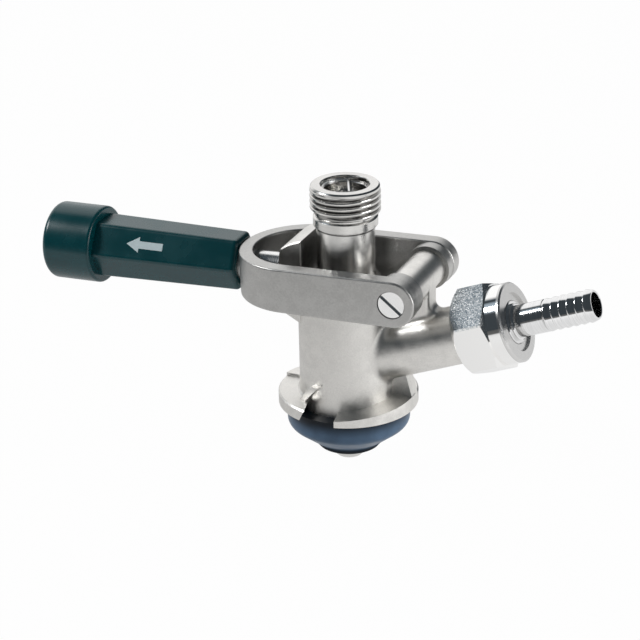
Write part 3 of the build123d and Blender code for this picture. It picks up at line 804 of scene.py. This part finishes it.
@dataclass
class Outlet:
    """Beer outlet: turned fitting with its real pipe thread, in millimetres."""

    seat_r: float = 4.0
    seat_z: float = 59.0
    bore_r: float = 7.2
    mouth_r: float = 7.95
    mouth: float = 2.0
    mouth_chamfer: float = 0.2
    spigot_r: float = 7.4
    spigot: float = 7.5
    gap_r: float = 8.8
    gap: float = 0.3
    collar_r: float = 10.5
    collar: float = 3.5
    collar_chamfer: float = 0.35
    edge_break: float = 0.15
    neck_r: float = 9.9
    neck_foot: float = 0.2
    neck: float = 0.9
    root_r: float = 10.25
    root_foot: float = 0.3
    land_r: float = 11.2
    land_foot: float = 1.75
    land_low: float = 1.3
    land_high: float = 0.5
    ring_r: float = 10.85
    ring_high: float = 0.1
    ring_chamfer: float = 0.12
    steps: int = 96
    crest_r: float = 11.455
    crest: tuple[tuple[float, float], ...] = ((0.17, 0.46), (0.06, 0.38), (0.01, 0.24))
    foot: tuple[tuple[float, float], ...] = ((-0.4, 0.04), (-0.02, 0.1), (0.12, 0.16))
    pitch: float = 1.9
    lead: float = 1.25
    run_out: float = 0.95
    start_angle: float = 225.0
    fade: float = 0.3
    sink: float = 0.3
    turn_steps: int = 72
    low: float = field(init=False)
    top: float = field(init=False)

    def __post_init__(self) -> None:
        """Take the fitting's height from the frame."""
        low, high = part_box("outlet_fitting")
        self.low = low.z / MM
        self.top = high.z / MM

    def core(self) -> bmesh.types.BMesh:
        """Turn the body of the fitting, at the thread's root.

        Returns:
            Its closed mesh.
        """
        seat = self.low + self.spigot
        gap_top = seat + self.gap
        collar_top = seat + self.collar
        neck_top = collar_top + self.neck
        outside = [
            (self.spigot_r, self.low), (self.spigot_r, seat), (self.gap_r, seat), (self.gap_r, gap_top),
            (self.collar_r - self.edge_break, gap_top), (self.collar_r, gap_top + self.edge_break),
            (self.collar_r, collar_top - self.collar_chamfer),
            (self.collar_r - self.collar_chamfer, collar_top),
            (self.neck_r, collar_top + self.neck_foot), (self.neck_r, neck_top),
            (self.root_r, neck_top + self.root_foot), (self.root_r, self.top - self.land_foot),
            (self.land_r, self.top - self.land_low), (self.land_r, self.top - self.land_high),
            (self.ring_r, self.top - self.ring_high), (self.ring_r - self.ring_chamfer, self.top),
        ]
        shoulder = self.top - self.mouth
        inside = [
            (self.mouth_r + self.mouth_chamfer, self.top), (self.mouth_r, self.top - self.mouth_chamfer),
            (self.mouth_r, shoulder), (self.bore_r + self.edge_break, shoulder),
            (self.bore_r, shoulder - self.edge_break),
            (self.bore_r, self.seat_z + self.bore_r - self.seat_r), (self.seat_r, self.seat_z),
        ]
        return lathe([(self.seat_r, self.low)] + outside + inside, self.steps)

    def ridge(self) -> list[tuple[float, float]]:
        """Draw the section of the thread's ridge, with a wide rounded crest.

        Returns:
            Its (radius, height) corners about the crest, from below to above.
        """
        half = self.pitch / 2
        flank = [(self.root_r + rise, half - inset) for rise, inset in self.foot]
        flank += [(self.crest_r - drop, height) for drop, height in self.crest]
        below = [(radius, -height) for radius, height in flank]
        return below + [(self.crest_r, 0.0)] + flank[::-1]

    def thread(self) -> bmesh.types.BMesh:
        """Wind the helical ridge, faded into the root at both ends.

        Returns:
            Its closed mesh.
        """
        base = self.low + self.spigot + self.collar + self.lead
        turns = (self.top - self.run_out - base) / self.pitch
        section = self.ridge()
        shape = bmesh.new()
        ring = chain(shape, [millimetres(radius, 0.0, height + base) for radius, height in section])
        shape.faces.new(ring[:len(section)])
        rise = self.pitch * MM / self.turn_steps
        bmesh.ops.spin(
            shape, geom=ring, cent=(0, 0, 0), axis=(0, 0, 1), dvec=(0, 0, rise),
            angle=2 * math.pi * turns, steps=round(turns * self.turn_steps))
        ends = [edge for edge in shape.edges if edge.is_boundary]
        bmesh.ops.holes_fill(shape, edges=ends, sides=len(section))
        self._fade_ends(shape, base, turns)
        start = Matrix.Rotation(math.radians(self.start_angle), 4, "Z")
        bmesh.ops.transform(shape, matrix=start, verts=shape.verts)
        return shape

    def _fade_ends(self, shape: bmesh.types.BMesh, base: float, turns: float) -> None:
        """Sink the ridge's crest into the root over the first and last stretch.

        Args:
            shape: The wound ridge.
            base: Height of its start, in millimetres.
            turns: How many turns it makes.
        """
        for vert in shape.verts:
            radius = vert.co.xy.length / MM
            if radius <= self.root_r:
                continue
            turn = math.atan2(vert.co.y, vert.co.x) / (2 * math.pi) % 1.0
            lift = (vert.co.z / MM - base) / self.pitch
            along = turn + round(lift - turn)
            share = max(0.0, min(1.0, min(along, turns - along) / self.fade))
            eased = share * share * (3 - 2 * share)
            wanted = self.root_r + (radius - self.root_r) * eased - (1 - eased) * self.sink
            vert.co.xy *= wanted / radius

    def build(self) -> None:
        """Make the fitting and put it in place of its plain solid."""
        shape = self.core()
        add_shape(shape, self.thread())
        piece = publish("outlet_threaded", shape, OUTLET_STEEL, "probe", 25.0)
        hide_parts("outlet_fitting")


@dataclass
class HoseTail:
    """Barbed hose tail whose barbs have rounded crests, in millimetres along the inlet."""

    bore_r: float = 4.0
    start: float = 55.2
    flange_r: float = 8.1
    flange: float = 2.7
    flange_break: float = 0.2
    neck_r: float = 7.0
    neck_end: float = 61.8
    neck_break: float = 0.25
    step_r: float = 6.0
    step_end: float = 62.9
    step_break: float = 0.3
    shank_r: float = 5.2
    shank_end: float = 73.0
    shank_break: tuple[float, float] = (0.45, 0.35)
    barbs: int = 6
    pitch: float = 2.75
    crest_r: float = 5.3
    crest: tuple[tuple[float, float], ...] = ((0.24, 0.04), (0.09, 0.13), (0.0, 0.34), (0.02, 0.62))
    root_r: float = 4.75
    undercut: float = 0.02
    end_break: tuple[float, float] = (0.2, 0.25)
    bore_break: float = 0.15
    steps: int = 96

    def outline(self) -> list[tuple[float, float]]:
        """Draw the tail's section, from its washer face to its open end.

        Returns:
            The section's (radius, height) corners.
        """
        flange_end = self.start + self.flange
        drop, back = self.shank_break
        points = [
            (self.bore_r, self.start), (self.flange_r - self.flange_break, self.start),
            (self.flange_r, self.start + self.flange_break), (self.flange_r, flange_end),
            (self.neck_r, flange_end), (self.neck_r, self.neck_end - self.neck_break),
            (self.neck_r - self.neck_break, self.neck_end), (self.step_r, self.neck_end),
            (self.step_r, self.step_end - self.step_break),
            (self.step_r - self.step_break, self.step_end), (self.shank_r, self.step_end),
            (self.shank_r, self.shank_end - back),
        ]
        for barb in range(self.barbs):
            base = self.shank_end + barb * self.pitch
            foot = self.root_r if barb else self.shank_r - drop
            points.append((foot, base - self.undercut))
            points += [(self.crest_r - fall, base + along) for fall, along in self.crest]
        end = self.shank_end + self.barbs * self.pitch
        inward, short = self.end_break
        return points + [
            (self.root_r, end - short), (self.root_r - inward, end), (self.bore_r + self.bore_break, end),
            (self.bore_r, end - self.bore_break),
        ]

    def build(self) -> None:
        """Make the tail and put it in place of its plain solid."""
        shape = lathe(self.outline(), self.steps)
        bmesh.ops.transform(shape, matrix=Axis.INLET.matrix(), verts=shape.verts)
        piece = publish("tail_barbed", shape, CHROME_TAIL, "gas_tail", 35.0)
        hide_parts("hose_tail")


@dataclass
class GripArrow:
    """Plain arrow printed on the grip's upper near face, in millimetres along the lever."""

    grip_start: float = 59.6
    grip: float = 51.8
    side_near: float = 10.0
    side_far: float = 10.9
    face_angle: float = 30.0
    tip: float = 99.1
    head: float = 4.6
    head_half: float = 2.65
    tail: float = 85.9
    shaft_half: float = 1.25
    skin: float = 0.03

    def outline(self) -> list[tuple[float, float]]:
        """Draw the arrow flat.

        Returns:
            Its (along, across) corners.
        """
        neck = self.tip - self.head
        return [
            (self.tip, 0.0), (neck, self.head_half), (neck, self.shaft_half),
            (self.tail, self.shaft_half), (self.tail, -self.shaft_half),
            (neck, -self.shaft_half), (neck, -self.head_half),
        ]

    def build(self) -> None:
        """Lay the arrow on the hexagon's face, a thin skin above it."""
        place = Axis.LEVER.matrix()
        slope = (self.side_far - self.side_near) / self.grip
        turn = math.radians(self.face_angle)
        normal = Vector((-math.cos(turn), math.sin(turn)))
        across = Vector((math.sin(turn), math.cos(turn)))
        shape = bmesh.new()
        verts = []
        for along, offset in self.outline():
            side = self.side_near + slope * (along - self.grip_start)
            flat = normal * (side * math.cos(turn) + self.skin) + across * offset
            verts.append(shape.verts.new(place @ millimetres(flat.y, flat.x, along)))
        shape.faces.new(verts)
        piece = publish("grip_arrow", shape, ARROW_INK, "latch", 30.0)


@dataclass
class SubAssembly:
    """Pieces that go together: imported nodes, each in its finish, and what is added to them."""

    def finishes(self) -> dict[str, Finish]:
        """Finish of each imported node."""
        return {}

    def add_details(self) -> None:
        """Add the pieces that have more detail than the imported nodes, where there are any."""

    def build(self) -> None:
        """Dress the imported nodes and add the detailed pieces."""
        for node, finish in self.finishes().items():
            dress(frame["nodes"][node], finish)
            LOG.info("%s: packed node, in %s", node, finish.name)
        self.add_details()


@dataclass
class Body(SubAssembly):
    """Cast body with the probe's gland and the keg seal."""

    def finishes(self) -> dict[str, Finish]:
        """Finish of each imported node."""
        return {
            "cast_body": CAST_STEEL, "gland_bush": ACETAL, "gland_o_rings": BLACK_RUBBER,
            "keg_seal": SEAL_RUBBER,
        }


@dataclass
class Probe(SubAssembly):
    """Sliding probe with its check ball and beer outlet."""

    outlet: Outlet = field(default_factory=Outlet)

    def finishes(self) -> dict[str, Finish]:
        """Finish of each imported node."""
        return {
            "probe_tube": TURNED_STEEL, "outlet_fitting": OUTLET_STEEL, "outlet_o_ring": BLACK_RUBBER,
            "check_ball": TURNED_STEEL, "ball_retainer": BRIGHT_WIRE,
        }

    def add_details(self) -> None:
        """Add the outlet with its thread."""
        self.outlet.build()


@dataclass
class GasInlet(SubAssembly):
    """Union nut, hose tail and check valve on the body's side boss."""

    hose_tail: HoseTail = field(default_factory=HoseTail)

    def finishes(self) -> dict[str, Finish]:
        """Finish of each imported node."""
        return {
            "union_nut": CHROME_NUT, "hose_tail": CHROME_TAIL, "tail_washer": BLACK_RUBBER,
            "gas_check_valve": BLACK_RUBBER, "valve_ring": ACETAL,
        }

    def add_details(self) -> None:
        """Add the tail with its barbs."""
        self.hose_tail.build()


@dataclass
class Lever(SubAssembly):
    """Forked lever on its pivot, with the pins that drive the probe."""

    def finishes(self) -> dict[str, Finish]:
        """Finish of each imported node."""
        return {
            "lever_yoke": SATIN_STEEL, "drive_pin_near": POLISHED_PIVOT, "drive_pin_far": POLISHED_PIVOT,
            "pivot_screw": POLISHED_PIVOT, "pivot_nut": POLISHED_PIVOT, "pivot_bushes": ACETAL,
        }


@dataclass
class Latch(SubAssembly):
    """Spring-loaded bolt in the lever's stem, with the grip that pulls it."""

    arrow: GripArrow = field(default_factory=GripArrow)

    def finishes(self) -> dict[str, Finish]:
        """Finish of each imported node."""
        return {
            "latch_bolt": POLISHED_BOLT, "latch_spring": SPRING_WIRE, "stem_plug": ACETAL,
            "grip": GREEN_PLASTIC, "grip_cap": GREEN_PLASTIC, "grip_washer": POLISHED_BOLT,
            "bolt_nut": POLISHED_BOLT,
        }

    def add_details(self) -> None:
        """Add the arrow on the grip."""
        self.arrow.build()


@dataclass(frozen=True)
class Lamp:
    """Round lamp that faces the object: its place and width in metres, its power in watts."""

    name: str
    place: tuple[float, float, float]
    size: float
    power: float

    def hang(self, aim: Vector) -> None:
        """Put the lamp in the scene.

        Args:
            aim: The point that it faces.
        """
        data = bpy.data.lights.new(self.name, "AREA")
        data.shape = "DISK"
        data.size = self.size
        data.energy = self.power
        lamp = bpy.data.objects.new(self.name, data)
        bpy.context.scene.collection.objects.link(lamp)
        place = Vector(self.place)
        facing = (aim - place).to_track_quat("-Z", "Y").to_matrix().to_4x4()
        lamp.matrix_world = Matrix.Translation(place) @ facing


@dataclass
class Studio:
    """White floor and room, soft lamps and the camera, in metres and degrees."""

    azimuth: float = 23.25
    elevation: float = 23.49
    roll: float = -1.3
    distance: float = 0.7367
    lens: float = 126.0
    sensor: float = 36.0
    aim: Vector = field(default_factory=lambda: millimetres(-9.73, 0.0, 26.65))
    lamps: tuple[Lamp, ...] = (
        Lamp("key", place=(-0.85, -0.35, 0.72), size=0.34, power=5.0),
        Lamp("side", place=(0.95, 0.02, 0.22), size=0.6, power=5.0),
    )
    window: tuple[float, float, float] = (-0.5, 0.75, 0.45)
    window_edge: tuple[float, float] = (0.74, 0.88)
    window_light: float = 1.0
    softbox: tuple[float, float, float] = (-0.703, -0.242, 0.669)
    softbox_edge: tuple[float, float] = (0.955, 0.992)
    softbox_light: float = 0.42
    ceiling_light: float = 0.062
    ceiling_colour: Colour = (0.72, 0.87, 1.0)
    paper: Colour = (0.86, 0.86, 0.86)
    floor_half: float = 3.0
    floor_seen: float = 0.98
    floor_mirrored: float = 0.92
    floor_front: tuple[float, float] = (-0.33, -0.24)
    floor_front_light: tuple[float, float] = (0.10, 1.0)
    floor_depth: tuple[float, float] = (-0.20, -0.02)
    floor_depth_light: tuple[float, float] = (0.90, 0.76)
    floor_width: tuple[float, float] = (-0.09, 0.11)
    floor_width_light: tuple[float, float] = (0.85, 1.2)

    def camera(self) -> None:
        """Set the camera at its viewing angle."""
        azimuth, elevation = math.radians(self.azimuth), math.radians(self.elevation)
        level = math.cos(elevation)
        back = Vector((math.sin(azimuth) * level, -math.cos(azimuth) * level, math.sin(elevation)))
        data = bpy.data.cameras.new("camera")
        data.lens = self.lens
        data.sensor_width = self.sensor
        data.clip_start, data.clip_end = 0.01, 20.0
        eye = bpy.data.objects.new("camera", data)
        bpy.context.scene.collection.objects.link(eye)
        turn = (-back).to_track_quat("-Z", "Y").to_matrix().to_4x4()
        roll = Matrix.Rotation(math.radians(self.roll), 4, "Z")
        eye.matrix_world = Matrix.Translation(self.aim + back * self.distance) @ turn @ roll
        bpy.context.scene.camera = eye

    def floor_material(self) -> bpy.types.Material:
        """Build the floor's white, which ends a little way in front of the object.

        Returns:
            Paper, mixed with even white for the camera and with a shaded white for reflections.
        """
        material = bpy.data.materials.new("floor_white")
        material.use_nodes = True
        graph = Graph(material.node_tree)
        sideways, depth, _ = graph.parts(graph.coordinates())
        shaded = depth.ramp(*self.floor_front, *self.floor_front_light)
        shaded = shaded * depth.ramp(*self.floor_depth, *self.floor_depth_light)
        shaded = shaded * sideways.ramp(*self.floor_width, *self.floor_width_light)
        path = graph.node("ShaderNodeLightPath", {}, {})
        camera = path.out("Is Camera Ray")
        strength = camera + (1.0 - camera) * shaded
        share = camera * self.floor_seen + path.out("Is Glossy Ray") * self.floor_mirrored
        paper = graph.node("ShaderNodeBsdfDiffuse", {}, {"Color": (*self.paper, 1.0)})
        white = graph.node("ShaderNodeEmission", {}, {"Color": (*WHITE, 1.0), "Strength": strength})
        both = graph.node("ShaderNodeMixShader", {}, {0: share, 1: paper.out(0), 2: white.out(0)})
        graph.node("ShaderNodeOutputMaterial", {}, {"Surface": both.out(0)})
        return material

    def floor(self) -> None:
        """Lay the floor under the probe's tip."""
        shape = bmesh.new()
        bmesh.ops.create_grid(shape, x_segments=1, y_segments=1, size=self.floor_half)
        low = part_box("probe_tube")[0].z
        bmesh.ops.translate(shape, verts=shape.verts, vec=(0, 0, low))
        mesh = bpy.data.meshes.new("floor")
        shape.to_mesh(mesh)
        shape.free()
        mesh.materials.append(self.floor_material())
        ground = bpy.data.objects.new("floor", mesh)
        bpy.context.scene.collection.objects.link(ground)

    def world(self) -> None:
        """White room for the camera; for light and reflections, a bright back and a dark ceiling."""
        world = bpy.data.worlds.new("studio")
        bpy.context.scene.world = world
        world.use_nodes = True
        graph = Graph(world.node_tree)
        where = graph.node("ShaderNodeTexCoord", {}, {}).out("Generated")
        window = graph.facing(where, self.window).ramp(*self.window_edge) * self.window_light
        softbox = graph.facing(where, self.softbox).ramp(*self.softbox_edge) * self.softbox_light
        room = window + softbox + self.ceiling_light
        seen = graph.node("ShaderNodeLightPath", {}, {}).out("Is Camera Ray")
        tint = graph.mix(window.ramp(0.0, 0.5), self.ceiling_colour, WHITE)
        inputs = {"Color": graph.mix(seen, tint, WHITE), "Strength": seen + (1.0 - seen) * room}
        sky = graph.node("ShaderNodeBackground", {}, inputs)
        graph.node("ShaderNodeOutputWorld", {}, {"Surface": sky.out(0)})

    def build(self) -> None:
        """Set up everything that isn't the object."""
        self.world()
        self.floor()
        for lamp in self.lamps:
            lamp.hang(self.aim)
        self.camera()
        bpy.context.scene.view_settings.view_transform = "Standard"


def main() -> None:
    """Build the sub-assemblies in order and set up the studio."""
    logging.basicConfig(level=logging.INFO, format="%(name)s %(message)s")
    for assembly in (Body(), Probe(), GasInlet(), Lever(), Latch()):
        assembly.build()
    Studio().build()


if __name__ == "__main__":
    main()
